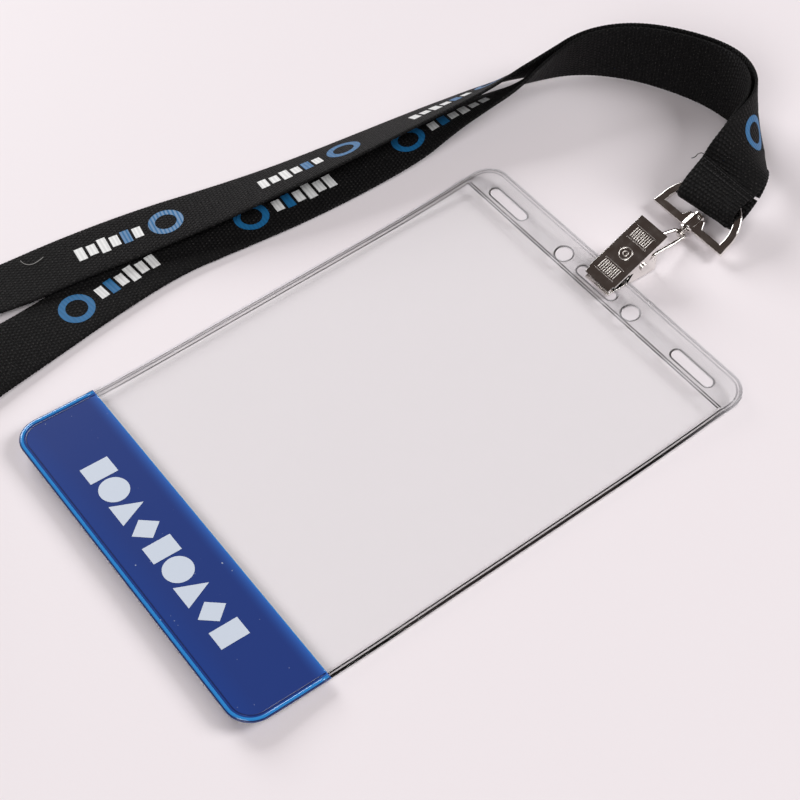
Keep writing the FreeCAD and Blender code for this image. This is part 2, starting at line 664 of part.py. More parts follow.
def stitch_rows():
    """Two rows of thread across the flap's top face."""
    found, _ = stations(LOOP_ROUTE, 0.45)
    flap, inward = found[0], found[1]
    bars = []
    for share in (0.2, 0.7):
        place = flap[0] + (inward[0] - flap[0]) * share
        ahead = flap[1]
        wide, _ = width_direction(ahead, flap[2] + (inward[2] - flap[2]) * share)
        outward = ahead.cross(wide)
        for k in range(STITCHES):
            offset = (k - (STITCHES - 1) / 2) * (STITCH_LONG + 0.35)
            centre = place + wide * offset + outward * ((size("ribbon_thick") + STITCH_THICK) / 2 + 0.03)
            bar = Part.makeBox(STITCH_LONG, STITCH_THICK, STITCH_THICK)
            bar.translate(Vector(-STITCH_LONG / 2, -STITCH_THICK / 2, -STITCH_THICK / 2))
            turn = Rotation(wide, ahead, outward, "XZY")
            bar.Placement = Placement(centre, turn).multiply(bar.Placement)
            bars.append(bar)
    return Part.makeCompound(bars)


stitching = add_feature("stitching", stitch_rows())

# ---------------------------------------------------------------- checks and files

doc.recompute()
SUB_PARTS = [back_sheet, front_sheet, header_strip, colour_band, lower_jaw, upper_jaw, hinge_pin,
             spring, wire_bail, swivel_stud, d_ring, sewn_end, stitching, far_strand, near_strand]
for item in doc.Objects:
    if "Invalid" in item.State or "Error" in item.State:
        raise RuntimeError("%s failed: %s" % (item.Name, item.State))
for item in SUB_PARTS:
    if item.Shape.isNull() or not item.Shape.isValid():
        raise RuntimeError(item.Label + " has no valid shape")

os.makedirs("parts", exist_ok=True)
for item in SUB_PARTS:
    item.Shape.exportStep("parts/%s.step" % item.Label)
    box = item.Shape.BoundBox
    print("%-15s volume %9.2f  x %7.2f %7.2f  y %7.2f %7.2f  z %6.2f %6.2f" % (
        item.Label, item.Shape.Volume, box.XMin, box.XMax, box.YMin, box.YMax, box.ZMin, box.ZMax))
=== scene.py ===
import math

import bpy
import numpy as np
from mathutils import Matrix


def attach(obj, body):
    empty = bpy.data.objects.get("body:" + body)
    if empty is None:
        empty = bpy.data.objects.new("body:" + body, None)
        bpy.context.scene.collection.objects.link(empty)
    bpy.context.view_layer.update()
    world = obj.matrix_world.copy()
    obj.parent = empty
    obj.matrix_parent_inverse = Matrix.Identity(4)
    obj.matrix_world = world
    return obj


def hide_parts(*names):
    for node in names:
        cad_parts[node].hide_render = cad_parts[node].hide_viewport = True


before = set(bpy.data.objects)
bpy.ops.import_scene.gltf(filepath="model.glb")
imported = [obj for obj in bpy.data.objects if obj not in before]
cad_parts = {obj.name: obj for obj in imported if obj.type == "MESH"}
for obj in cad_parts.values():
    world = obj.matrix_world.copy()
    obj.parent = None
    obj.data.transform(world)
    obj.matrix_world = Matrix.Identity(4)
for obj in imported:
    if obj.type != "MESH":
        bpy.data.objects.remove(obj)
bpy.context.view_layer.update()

MM = 0.001
scene = bpy.context.scene

# ---------------------------------------------------------------- camera and light

RIGHT = (0.59862, 0.80020, -0.03652)
DOWN = (0.61890, -0.49098, -0.61311)
FORWARD = (-0.50854, 0.34442, -0.78915)
CAMERA_PLACE = (0.245783, -0.160299, 0.385530)
LOOK_AT = np.array([0.0, 0.02, 0.0])


def add_camera():
    data = bpy.data.cameras.new("camera")
    data.lens = 80.04
    data.sensor_width = 36
    data.clip_start = 0.01
    camera = bpy.data.objects.new("camera", data)
    scene.collection.objects.link(camera)
    rows = (RIGHT, [-v for v in DOWN], [-v for v in FORWARD])
    camera.matrix_world = Matrix.Translation(CAMERA_PLACE) @ Matrix(rows).transposed().to_4x4()
    scene.camera = camera


def add_light(name, direction, distance, width, power, colour=(1, 1, 1)):
    """Square soft light that faces the pouch from a direction."""
    data = bpy.data.lights.new(name, "AREA")
    data.size = width
    data.energy = power
    data.color = colour
    light = bpy.data.objects.new(name, data)
    scene.collection.objects.link(light)
    back = np.array(direction, float)
    back /= np.linalg.norm(back)
    side = np.cross((0, 0, 1), back)
    side /= np.linalg.norm(side)
    rows = (side, np.cross(back, side), back)
    place = LOOK_AT + back * distance
    light.matrix_world = Matrix.Translation(place) @ Matrix([tuple(r) for r in rows]).transposed().to_4x4()


add_camera()
add_light("left_back", (-0.90, 0.05, 0.42), 1.9, 0.95, 26.0)
add_light("right", (0.55, 0.85, 0.75), 1.8, 0.80, 21.5)
add_light("front_fill", (0.45, -0.85, 0.80), 1.8, 0.9, 16.0)
world = bpy.data.worlds.new("studio")
world.use_nodes = True
world.node_tree.nodes["Background"].inputs["Color"].default_value = (0.058, 0.044, 0.039, 1)
world.node_tree.nodes["Background"].inputs["Strength"].default_value = 1.0
scene.world = world
scene.view_settings.view_transform = "Standard"

# ---------------------------------------------------------------- routes of the ribbon

# Each point is (x, y, z, lean) in millimetres and degrees: the ribbon's middle line, and how far
# its left edge, seen along the route from the clip, is tipped up out of the flat.
FAR_ROUTE = [
    (-1.1, 125.0, 9.8, 1), (-1.8, 128.6, 11.5, 6), (-3.3, 134.0, 13.9, 28),
    (-6.9, 141.1, 14.0, 54), (-12.2, 150.0, 12.8, 75),
    (-21.8, 157.2, 10.9, 94), (-35.4, 159.0, 9.9, 109), (-50.2, 153.0, 10.0, 105),
    (-63.3, 143.4, 10.4, 96), (-72.4, 130.1, 10.7, 78), (-75.6, 115.1, 10.2, 58),
    (-78.6, 104.0, 8.8, 46), (-80.2, 91.0, 8.0, 39), (-82.4, 77.0, 7.4, 35),
    (-85.4, 54.0, 6.4, 29), (-88.8, 30.0, 5.4, 23), (-93.4, 8.0, 3.9, 14),
    (-98.9, -13.7, 2.6, 5), (-103.2, -38.0, 2.4, 4), (-105.6, -60.0, 2.1, 4),
    (-110.0, -86.0, 4.6, 20), (-117.0, -108.0, 8.7, 52), (-131.0, -130.0, 10.7, 84),
    (-137.0, -156.0, 10.7, 90), (-127.0, -182.0, 10.7, 90), (-109.0, -194.0, 10.7, 90),
    (-97.0, -194.0, 10.7, 90)]
NEAR_ROUTE = [
    (-2.3, 129.4, 6.6, 4), (-3.9, 134.5, 12.2, 26), (-7.8, 140.6, 13.2, 54),
    (-13.7, 148.6, 12.3, 76), (-23.0, 154.0, 11.5, 100), (-35.0, 155.5, 10.8, 115),
    (-49.0, 150.5, 10.4, 107), (-62.0, 142.0, 10.5, 96), (-71.0, 129.5, 10.4, 78),
    (-74.0, 115.0, 9.2, 58), (-74.5, 103.0, 7.5, 41), (-77.0, 91.0, 5.7, 30),
    (-79.2, 80.5, 3.9, 19), (-80.8, 69.5, 1.8, 5), (-82.0, 49.0, 0.9, 0),
    (-83.3, 26.0, 0.9, 0), (-86.2, 5.0, 0.9, 0), (-88.8, -14.0, 0.9, 0),
    (-87.2, -37.0, 0.9, 0), (-84.2, -61.0, 1.5, -4), (-80.0, -88.0, 4.8, -20),
    (-71.0, -110.0, 8.6, -52), (-61.0, -131.0, 10.7, -84), (-57.0, -156.0, 10.7, -90),
    (-67.0, -182.0, 10.7, -90), (-85.0, -194.0, 10.7, -90), (-97.0, -194.0, 10.7, -90)]
# The sewn end: from the flap over the ring's bow, round the fold and back under the bow. Its
# width is carried towards +X all the way, so the same lean changes sign at the fold.
LOOP_ROUTE = [
    (-1.4, 127.6, 12.6, -9), (-1.3, 124.0, 11.0, -3), (-0.95, 119.7, 8.7, 0), (-0.65, 117.3, 5.2, 0),
    (-0.95, 119.7, 2.3, 0), (-1.4, 125.0, 3.1, 0), (-2.3, 129.4, 6.6, 4)]
RIBBON_WIDE = 20.0
RIBBON_THICK = 0.9
RIB_PITCH = 1.15


def spline_points(points, steps):
    """Points of the smooth line whose control points are given."""
    data = bpy.data.curves.new("route", "CURVE")
    data.dimensions = "3D"
    data.resolution_u = steps
    spline = data.splines.new("NURBS")
    spline.points.add(len(points) - 1)
    for spot, place in zip(spline.points, points):
        spot.co = (place[0] * MM, place[1] * MM, place[2] * MM, 1)
    spline.order_u = 3
    spline.use_endpoint_u = True
    holder = bpy.data.objects.new("route", data)
    scene.collection.objects.link(holder)
    mesh = bpy.data.meshes.new_from_object(holder)
    found = np.array([v.co[:] for v in mesh.vertices])
    bpy.data.objects.remove(holder)
    bpy.data.meshes.remove(mesh)
    bpy.data.curves.remove(data)
    return found


def unit(rows):
    return rows / np.linalg.norm(rows, axis=1)[:, None]


class Ribbon:
    """Middle line of a flat ribbon with its width and face directions at each point."""

    def __init__(self, route, steps, towards=None):
        self.middle = spline_points([p[:3] for p in route], steps)
        lean = spline_points([(p[3], 0, 0) for p in route], steps)[:, 0] / MM
        ahead = unit(np.gradient(self.middle, axis=0))
        left = np.cross((0, 0, 1), ahead)
        left[np.linalg.norm(left, axis=1) < 0.05] = (1, 0, 0)
        left = unit(left)
        above = np.cross(ahead, left)
        turn = np.radians(lean)[:, None]
        wide = left * np.cos(turn) + above * np.sin(turn)
        if towards is not None:
            wide[wide @ np.array(towards) < 0] *= -1
        self.wide = wide
        self.face = np.cross(ahead, wide)
        step = np.linalg.norm(np.diff(self.middle, axis=0), axis=1)
        self.along = np.concatenate([[0], np.cumsum(step)])
        self.length = float(self.along[-1])

    def place(self, along, across, lift):
        """Points at distances along, across and off the ribbon's printed face, in metres."""
        def at(rows):
            return np.stack([np.interp(along, self.along, rows[:, k]) for k in range(3)], axis=1)
        return at(self.middle) + at(self.wide) * across[:, None] + at(self.face) * lift[:, None]

    def nearest(self, x, y):
        gap = np.hypot(self.middle[:, 0] - x * MM, self.middle[:, 1] - y * MM)
        return self.along[int(np.argmin(gap))]


# ---------------------------------------------------------------- materials

def new_material(name, colour, roughness, metallic=0.0, coat=0.0, specular=0.5):
    material = bpy.data.materials.new(name)
    material.use_nodes = True
    shader = material.node_tree.nodes["Principled BSDF"]
    shader.inputs["Base Color"].default_value = (*colour, 1)
    shader.inputs["Roughness"].default_value = roughness
    shader.inputs["Metallic"].default_value = metallic
    shader.inputs["Coat Weight"].default_value = coat
    shader.inputs["Specular IOR Level"].default_value = specular
    return material


class Graph:
    """Short ways to add and link shader nodes."""

    def __init__(self, material):
        self.tree = material.node_tree
        self.shader = self.tree.nodes.get("Principled BSDF")
        self.output = self.tree.nodes["Material Output"]

    def add(self, kind, **settings):
        node = self.tree.nodes.new(kind)
        for key, setting in settings.items():
            setattr(node, key, setting)
        return node

    def link(self, source, target):
        self.tree.links.new(source, target)

    def feed(self, socket, item):
        if isinstance(item, (int, float, tuple)):
            socket.default_value = item
        else:
            self.link(item, socket)

    def math(self, operation, *items):
        node = self.add("ShaderNodeMath", operation=operation)
        for socket, item in zip(node.inputs, items):
            self.feed(socket, item)
        return node.outputs[0]

    def noise(self, scale, detail=2.0, vector=None, rough=0.5):
        node = self.add("ShaderNodeTexNoise")
        node.inputs["Scale"].default_value = scale
        node.inputs["Detail"].default_value = detail
        node.inputs["Roughness"].default_value = rough
        if vector is None:
            vector = self.add("ShaderNodeTexCoord").outputs["Object"]
        self.link(vector, node.inputs["Vector"])
        return node.outputs["Fac"]

    def ramp(self, source, low, high, first=0.0, last=1.0):
        node = self.add("ShaderNodeMapRange")
        self.link(source, node.inputs["Value"])
        node.inputs["From Min"].default_value = low
        node.inputs["From Max"].default_value = high
        node.inputs["To Min"].default_value = first
        node.inputs["To Max"].default_value = last
        return node.outputs["Result"]

    def mix(self, fac, first, second):
        node = self.add("ShaderNodeMix", data_type="RGBA")
        self.link(fac, node.inputs["Factor"])
        for socket, item in ((node.inputs[6], first), (node.inputs[7], second)):
            self.feed(socket, (*item, 1) if isinstance(item, tuple) else item)
        return node.outputs[2]

    def bump(self, height, distance, strength=1.0, normal=None):
        node = self.add("ShaderNodeBump")
        node.inputs["Strength"].default_value = strength
        node.inputs["Distance"].default_value = distance
        self.link(height, node.inputs["Height"])
        if normal is not None:
            self.link(normal, node.inputs["Normal"])
        return node.outputs["Normal"]


def clear_vinyl(name, tint, wave, roughness=0.07, gain=0.45):
    """See-through film: straight-through light with a gloss that grows at grazing angles."""
    material = bpy.data.materials.new(name)
    material.use_nodes = True
    graph = Graph(material)
    graph.tree.nodes.remove(graph.shader)
    through = graph.add("ShaderNodeBsdfTransparent")
    through.inputs["Color"].default_value = (*tint, 1)
    gloss = graph.add("ShaderNodeBsdfGlossy")
    gloss.inputs["Roughness"].default_value = roughness
    amount = graph.add("ShaderNodeFresnel")
    amount.inputs["IOR"].default_value = 1.5
    ripple = graph.bump(graph.noise(38.0, 2.0), wave * MM)
    graph.link(ripple, gloss.inputs["Normal"])
    graph.link(ripple, amount.inputs["Normal"])
    outside = graph.math("SUBTRACT", 1.0, graph.add("ShaderNodeNewGeometry").outputs["Backfacing"])
    blend = graph.add("ShaderNodeMixShader")
    soft = graph.math("MULTIPLY", amount.outputs[0], gain)
    graph.link(graph.math("MULTIPLY", soft, outside), blend.inputs[0])
    graph.link(through.outputs[0], blend.inputs[1])
    graph.link(gloss.outputs[0], blend.inputs[2])
    graph.link(blend.outputs[0], graph.output.inputs["Surface"])
    return material


BAND_BLUE = (0.019, 0.043, 0.2)


def band_vinyl():
    """Dark blue film, with a painted glow that lightens it towards its free edge, and specks of dust."""
    material = new_material("band_vinyl", BAND_BLUE, 0.3, specular=0.25)
    graph = Graph(material)
    spot = graph.add("ShaderNodeTexCoord").outputs["Object"]
    parts = graph.add("ShaderNodeSeparateXYZ")
    graph.link(spot, parts.inputs[0])
    # Painted glow: the film turns lighter blue over the last few millimetres before its free edge.
    edge = graph.ramp(parts.outputs["Y"], -61.5 * MM, -57.6 * MM)
    edge = graph.math("POWER", edge, 2.2)
    shade = graph.mix(edge, BAND_BLUE, (0.035, 0.13, 0.48))
    foot = graph.ramp(parts.outputs["Y"], -76.0 * MM, -83.0 * MM)
    shade = graph.mix(graph.math("MULTIPLY", foot, 0.35), shade, (0.012, 0.06, 0.30))
    dust = graph.ramp(graph.noise(1100.0, 0.0), 0.86, 0.89)
    shade = graph.mix(graph.math("MULTIPLY", dust, 0.6), shade, (0.55, 0.6, 0.7))
    graph.link(shade, graph.shader.inputs["Base Color"])
    graph.link(graph.bump(graph.noise(60.0, 2.0), 0.05 * MM), graph.shader.inputs["Normal"])
    return material


def polished_nickel(name, colour, roughness):
    material = new_material(name, colour, roughness, metallic=1.0)
    graph = Graph(material)
    bevel = graph.add("ShaderNodeBevel", samples=4)
    bevel.inputs["Radius"].default_value = 0.14 * MM
    ripple = graph.bump(graph.noise(160.0, 3.0), 0.035 * MM, normal=bevel.outputs[0])
    graph.link(ripple, graph.shader.inputs["Normal"])
    smear = graph.ramp(graph.noise(420.0, 4.0), 0.3, 0.75, roughness * 0.7, roughness * 1.9)
    graph.link(smear, graph.shader.inputs["Roughness"])
    return material


def woven_ribbon():
    """Ribbed black polyester: weft ribs across the width, crossed by fine warp threads, with a painted
    sheen of grey flecks on the raised ribs.
    """
    material = new_material("woven_ribbon", (0.008, 0.0075, 0.008), 0.7, specular=0.15)
    graph = Graph(material)
    spot = graph.add("ShaderNodeUVMap", uv_map="weave").outputs[0]
    parts = graph.add("ShaderNodeSeparateXYZ")
    graph.link(spot, parts.inputs[0])
    across, along = parts.outputs["X"], parts.outputs["Y"]
    wobble = graph.math("MULTIPLY", graph.noise(0.35, 2.0, spot), 0.9)
    rib = graph.math("SINE", graph.math("MULTIPLY", graph.math("ADD", along, wobble), math.pi / RIB_PITCH))
    warp = graph.math("SINE", graph.math("MULTIPLY", across, math.pi / 0.62))
    rib_square = graph.math("MULTIPLY", rib, rib)
    weave = graph.math("MULTIPLY", graph.math("MULTIPLY", rib, warp), 0.5)
    fuzz = graph.math("MULTIPLY", graph.noise(3.2, 3.0, spot), 0.7)
    height = graph.math("ADD", graph.math("ADD", rib_square, weave), fuzz)
    graph.link(graph.bump(height, 0.30 * MM), graph.shader.inputs["Normal"])
    # Painted sheen: grey flecks where the ribs are raised, standing in for the polyester's reflections.
    sheen_fleck = graph.ramp(graph.noise(2.6, 4.0, spot, 0.75), 0.53, 0.66)
    raised = graph.ramp(graph.math("ADD", rib_square, weave), 0.45, 1.2)
    light = graph.math("MULTIPLY", sheen_fleck, raised)
    shade = graph.mix(light, (0.0038, 0.0035, 0.0038), (0.085, 0.078, 0.074))
    graph.link(shade, graph.shader.inputs["Base Color"])
    return material


def printed_ink(name, colour):
    """Ink printed on the ribs, with painted shade darkening it in the troughs between them."""
    material = new_material(name, colour, 0.5)
    graph = Graph(material)
    spot = graph.add("ShaderNodeUVMap", uv_map="weave").outputs[0]
    parts = graph.add("ShaderNodeSeparateXYZ")
    graph.link(spot, parts.inputs[0])
    rib = graph.math("SINE", graph.math("MULTIPLY", parts.outputs["Y"], math.pi / RIB_PITCH))
    rib = graph.math("MULTIPLY", rib, rib)
    graph.link(graph.bump(rib, 0.08 * MM), graph.shader.inputs["Normal"])
    # Painted shade: the ink is darker in the rib troughs and full colour on the crests.
    trough_shade = tuple(0.82 * c for c in colour)
    graph.link(graph.mix(rib, trough_shade, colour), graph.shader.inputs["Base Color"])
    return material


def table_top():
    material = new_material("table_top", (0.86, 0.80, 0.83), 0.6)
    graph = Graph(material)
    graph.link(graph.bump(graph.noise(900.0, 2.0), 0.02 * MM), graph.shader.inputs["Normal"])
    return material


FILM_POCKET = clear_vinyl("film_pocket", (0.993, 0.996, 0.995), 0.25, gain=0.35)
FILM_BACK = clear_vinyl("film_back", (0.997, 0.998, 0.998), 0.2, gain=0.35)
FILM_HEADER = clear_vinyl("film_header", (0.985, 0.99, 0.99), 0.2)
FILM_WELD = clear_vinyl("film_weld", (0.972, 0.977, 0.984), 0.1, 0.05, 0.4)
BAND = band_vinyl()
BAND_BEAD = new_material("band_bead", (0.03, 0.24, 0.62), 0.15, coat=0.5)
BAND_LINE = new_material("band_line", (0.008, 0.02, 0.11), 0.3, coat=0.3)
MARK_INK = new_material("mark_ink", (0.60, 0.66, 0.76), 0.4)
NICKEL = polished_nickel("nickel", (0.78, 0.755, 0.73), 0.11)
CREST = new_material("crest", (0.60, 0.56, 0.53), 0.40, metallic=1.0)
STEEL = polished_nickel("steel", (0.62, 0.61, 0.60), 0.22)
WEAVE = woven_ribbon()
INK_BLUE = printed_ink("ink_blue", (0.010, 0.135, 0.33))
INK_WHITE = printed_ink("ink_white", (0.80, 0.80, 0.80))
THREAD = new_material("thread", (0.012, 0.011, 0.012), 0.7)
LINT = new_material("lint", (0.35, 0.34, 0.33), 0.7)

NODE_LOOKS = {
    "back_sheet": FILM_BACK, "front_sheet": FILM_POCKET, "header_strip": FILM_HEADER,
    "colour_band": BAND, "lower_jaw": NICKEL, "upper_jaw": NICKEL, "hinge_pin": NICKEL,
    "torsion_spring": STEEL, "wire_bail": NICKEL, "swivel_stud": NICKEL, "d_ring": NICKEL}
for node, material in NODE_LOOKS.items():
    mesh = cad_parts[node].data
    for k in range(len(mesh.materials)):
        mesh.materials[k] = material
    if not mesh.materials:
        mesh.materials.append(material)


def add_piece(name, points, faces, material, body, uv=None):
    """New piece in metres, with one material, that rides with a body."""
    mesh = bpy.data.meshes.new(name)
    mesh.from_pydata([tuple(p) for p in points], [], [tuple(f) for f in faces])
    mesh.shade_smooth()
    mesh.materials.append(material)
    if uv is not None:
        layer = mesh.uv_layers.new(name="weave")
        index = np.empty(len(mesh.loops), dtype=np.int32)
        mesh.loops.foreach_get("vertex_index", index)
        layer.data.foreach_set("uv", np.asarray(uv, dtype=np.float32)[index].ravel())
    piece = bpy.data.objects.new(name, mesh)
    scene.collection.objects.link(piece)
    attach(piece, body)
    return piece


# ---------------------------------------------------------------- ribbon pieces

SECTION_STEPS = 10


def ribbon_section():
    """Ribbon's cross-section as (across, off the face) in millimetres, with soft edges."""
    half, thick = RIBBON_WIDE / 2, RIBBON_THICK / 2
    edge = 0.45
    top = [(x, thick) for x in np.linspace(half - edge, -half + edge, SECTION_STEPS)]
    left = [(-half + 0.12, 0.30), (-half, 0.0), (-half + 0.12, -0.30)]
    bottom = [(-x, -thick) for x, _ in top]
    right = [(half - 0.12, -0.30), (half, 0.0), (half - 0.12, 0.30)]
    return top + left + bottom + right


def ribbon_mesh(name, route, steps, towards=None):
    ribbon = Ribbon(route, steps, towards)
    section = np.array(ribbon_section())
    count = len(section)
    along = np.arange(0, ribbon.length, 0.00028)
    along = np.append(along, ribbon.length)
    scallop = 1 - 0.013 * np.abs(np.cos(along / MM * math.pi / RIB_PITCH))
    points, uv = [], []
    for across, lift in section:
        spots = ribbon.place(along, across * MM * scallop, np.full(len(along), lift * MM))
        points.append(spots)
        uv.append(np.stack([np.full(len(along), across + (0 if lift >= 0 else 31)), along / MM], axis=1))
    points = np.stack(points, axis=1).reshape(-1, 3)
    uv = np.stack(uv, axis=1).reshape(-1, 2)
    faces = []
    for i in range(len(along) - 1):
        for k in range(count):
            a, b = i * count + k, i * count + (k + 1) % count
            faces.append((a, b, b + count, a + count))
    faces.append(tuple(range(count))[::-1])
    last = (len(along) - 1) * count
    faces.append(tuple(range(last, last + count)))
    piece = add_piece(name, points, faces, WEAVE, "lanyard", uv)
    return ribbon, piece


far, far_piece = ribbon_mesh("far_ribbon", FAR_ROUTE, 40)
near, near_piece = ribbon_mesh("near_ribbon", NEAR_ROUTE, 40)
loop, loop_piece = ribbon_mesh("loop_ribbon", LOOP_ROUTE, 48, (1, 0, 0))
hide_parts("far_strand")
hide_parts("near_strand")
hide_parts("sewn_end")


def printed_patch(name, ribbon, flat, faces, material):
    """Flat print in (along, across) millimetres, laid on the ribbon's printed face."""
    flat = np.array(flat, float)
    lift = np.full(len(flat), (RIBBON_THICK / 2 + 0.045) * MM)
    points = ribbon.place(flat[:, 0] * MM, flat[:, 1] * MM, lift)
    return add_piece(name, points, faces, material, "lanyard", flat[:, ::-1])


def grid_faces(rows, columns):
    return [(i * columns + j, i * columns + j + 1, (i + 1) * columns + j + 1, (i + 1) * columns + j)
            for i in range(rows - 1) for j in range(columns - 1)]


def emblem(ribbon, number, centre, sense):
    """Blue ring and a run of plain bars printed on the ribbon. sense is +1 or -1 along it."""
    start = centre / MM - sense * 17.0
    turn = np.linspace(0, 2 * math.pi, 49)
    flat = [(start + sense * 6.0 + radius * math.cos(a), radius * math.sin(a))
            for radius in (3.3, 4.0, 4.7, 5.4) for a in turn]
    pieces = [printed_patch("print_ring_%d" % number, ribbon, flat, grid_faces(4, 49), INK_BLUE)]
    heights = (4.6, 5.6, 4.6, 6.4, 4.6, 5.4)
    flat, faces = [], []
    for k, height in enumerate(heights):
        if k == 1:
            continue
        low = start + sense * (13.6 + 3.6 * k)
        base = len(flat)
        flat += [(low + sense * 2.7 * i / 5, -height / 2 + height * j / 5)
                 for i in range(6) for j in range(6)]
        faces += [tuple(base + v for v in face) for face in grid_faces(6, 6)]
    pieces.append(printed_patch("print_bars_%d" % number, ribbon, flat, faces, INK_WHITE))
    low = start + sense * (13.6 + 3.6)
    flat = [(low + sense * 2.7 * i / 5, -heights[1] / 2 + heights[1] * j / 5)
            for i in range(6) for j in range(6)]
    pieces.append(printed_patch("print_dash_%d" % number, ribbon, flat, grid_faces(6, 6), INK_BLUE))
    return pieces


FAR_PRINTS = [(-102, -18), (-92, 39), (-81, 90), (-60, 147), (-9, 146)]
NEAR_PRINTS = [(-88, -35), (-83, 25), (-76, 80), (-50, 151)]
far_prints, near_prints = [], []
for number, (x, y) in enumerate(FAR_PRINTS):
    far_prints += emblem(far, number, max(far.nearest(x, y), 0.033), 1)
for number, (x, y) in enumerate(NEAR_PRINTS):
    near_prints += emblem(near, number + len(FAR_PRINTS), near.nearest(x, y), -1)


def thread_piece(name, points, radius, material, body="lanyard"):
    """Thin round thread that runs through its points."""
    line = spline_points(points, 6)
    ahead = unit(np.gradient(line, axis=0))
    side = unit(np.cross(ahead, (0.3, 0.2, 1)))
    over = np.cross(ahead, side)
    around = 6
    rows = [line + radius * MM * (side * math.cos(a) + over * math.sin(a))
            for a in np.arange(around) * 2 * math.pi / around]
    spots = np.stack(rows, axis=1).reshape(-1, 3)
    faces = [(i * around + k, i * around + (k + 1) % around,
              (i + 1) * around + (k + 1) % around, (i + 1) * around + k)
             for i in range(len(line) - 1) for k in range(around)]
    faces += [tuple(range(around))[::-1], tuple(range(len(spots) - around, len(spots)))]
    return add_piece(name, spots, faces, material, body)


def seam_threads():
    """Two rows of stitches across the flap."""
    pieces = []
    for row, along in enumerate((0.8, 2.5)):
        for k in range(15):
            across = -9.1 + 1.3 * k
            flat = np.array([(along, across), (along, across + 0.45), (along, across + 0.9)])
            lift = np.array([0.46, 0.60, 0.46])
            line = loop.place(flat[:, 0] * MM, flat[:, 1] * MM, lift * MM)
            pieces.append(thread_piece("stitch_%d_%d" % (row, k), line / MM, 0.14, THREAD))
    return pieces


stitches = seam_threads()
bpy.ops.object.select_all(action="DESELECT")
for piece in stitches:
    piece.select_set(True)
bpy.context.view_layer.objects.active = stitches[0]
bpy.ops.object.join()
seam = bpy.context.view_layer.objects.active
seam.name = "seam_stitches"
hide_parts("stitching")

corner = loop.place(np.array([0.0]), np.array([-9.6 * MM]), np.array([0.3 * MM]))[0] / MM
loose = thread_piece("loose_thread", [corner, corner + (-1.6, 0.6, -0.6), corner + (-2.6, -0.4, -1.4),
                                      corner + (-2.2, -1.6, -1.9), corner + (-3.0, -2.3, -2.2)],
                     0.13, THREAD)
lint_place = far.nearest(-104, -44)
lint_line = far.place(np.array([lint_place, lint_place + 0.003, lint_place + 0.006, lint_place + 0.0062]),
                      np.array([-5.0, -3.6, -5.0, -7.5]) * MM, np.full(4, 0.62 * MM)) / MM
lint = thread_piece("lint_thread", lint_line, 0.09, LINT)

# ---------------------------------------------------------------- clip details

PIN_Y, PIN_Z, PLATE_TILT, PLATE_TOP = 89.05, 5.3, math.radians(22.8), 3.07
PANELS, RIB_STEP = (-7.4, 5.3), 0.8
RING_ALONG = sum(PANELS) / 2
RINGS = ((1.95, 0.16), (0.8, 0.15))


def on_plate(x, y, lift):
    """Place on the upper jaw's plate, from millimetres across, along and above it."""
    up = PLATE_TOP + lift
    return (x * MM, (PIN_Y + y * math.cos(PLATE_TILT) - up * math.sin(PLATE_TILT)) * MM,
            (PIN_Z + y * math.sin(PLATE_TILT) + up * math.cos(PLATE_TILT)) * MM)


def clip_crests():
    """Rubbed crests of the ribs and the ring pressed up out of the jaw's plate."""
    points, faces = [], []

    def bead(line, half_wide, closed=False):
        line = np.array(line, float)
        if closed:
            ahead = unit(np.roll(line, -1, axis=0) - np.roll(line, 1, axis=0))
        else:
            ahead = unit(np.gradient(line, axis=0))
        base, total = len(points), len(line)
        for (x, y), (ax, ay) in zip(line, ahead):
            for across, lift in ((-1.0, 0.05), (-0.55, 0.22), (0.55, 0.22), (1.0, 0.05)):
                points.append(on_plate(x - ay * across * half_wide, y + ax * across * half_wide, lift))
        for i in range(total if closed else total - 1):
            here, following = base + i * 4, base + ((i + 1) % total) * 4
            faces.extend((here + k, here + (k + 1) % 4, following + (k + 1) % 4, following + k)
                         for k in range(4))

    for panel in PANELS:
        for step in range(-4, 5):
            bead([(step * RIB_STEP, panel + v) for v in np.linspace(-1.7, 1.7, 6)], 0.14)
        for end in (-1, 1):
            bead([(v, panel + end * 2.2) for v in np.linspace(-3.8, 3.8, 9)], 0.15)
    turn = np.arange(32) * 2 * math.pi / 32
    for radius, half_wide in RINGS:
        bead([(radius * math.cos(a), RING_ALONG + radius * math.sin(a)) for a in turn],
             half_wide, closed=True)
    return add_piece("clip_crests", points, faces, CREST, "jaw")


clip_crests()

# ---------------------------------------------------------------- pouch details

HALF_LONG, HALF_WIDE, FLAT_HALF, BEND = 83.5, 57.0, 36.0, 470.0
FILM, CARD_GAP, CORNER = 0.4, 0.45, 7.5
TOP_BAND = 3 * FILM + CARD_GAP
TOP_FRONT = 2 * FILM + CARD_GAP
TOP_HEADER = 2 * FILM
BAND_EDGE, MOUTH_EDGE, HEADER_EDGE, HOLE_ROW = -57.5, 72.6, 73.1, 76.4


def sheet_height(y, level):
    beyond = max(abs(y) - FLAT_HALF, 0)
    return BEND - math.sqrt((BEND - level) ** 2 - beyond * beyond)


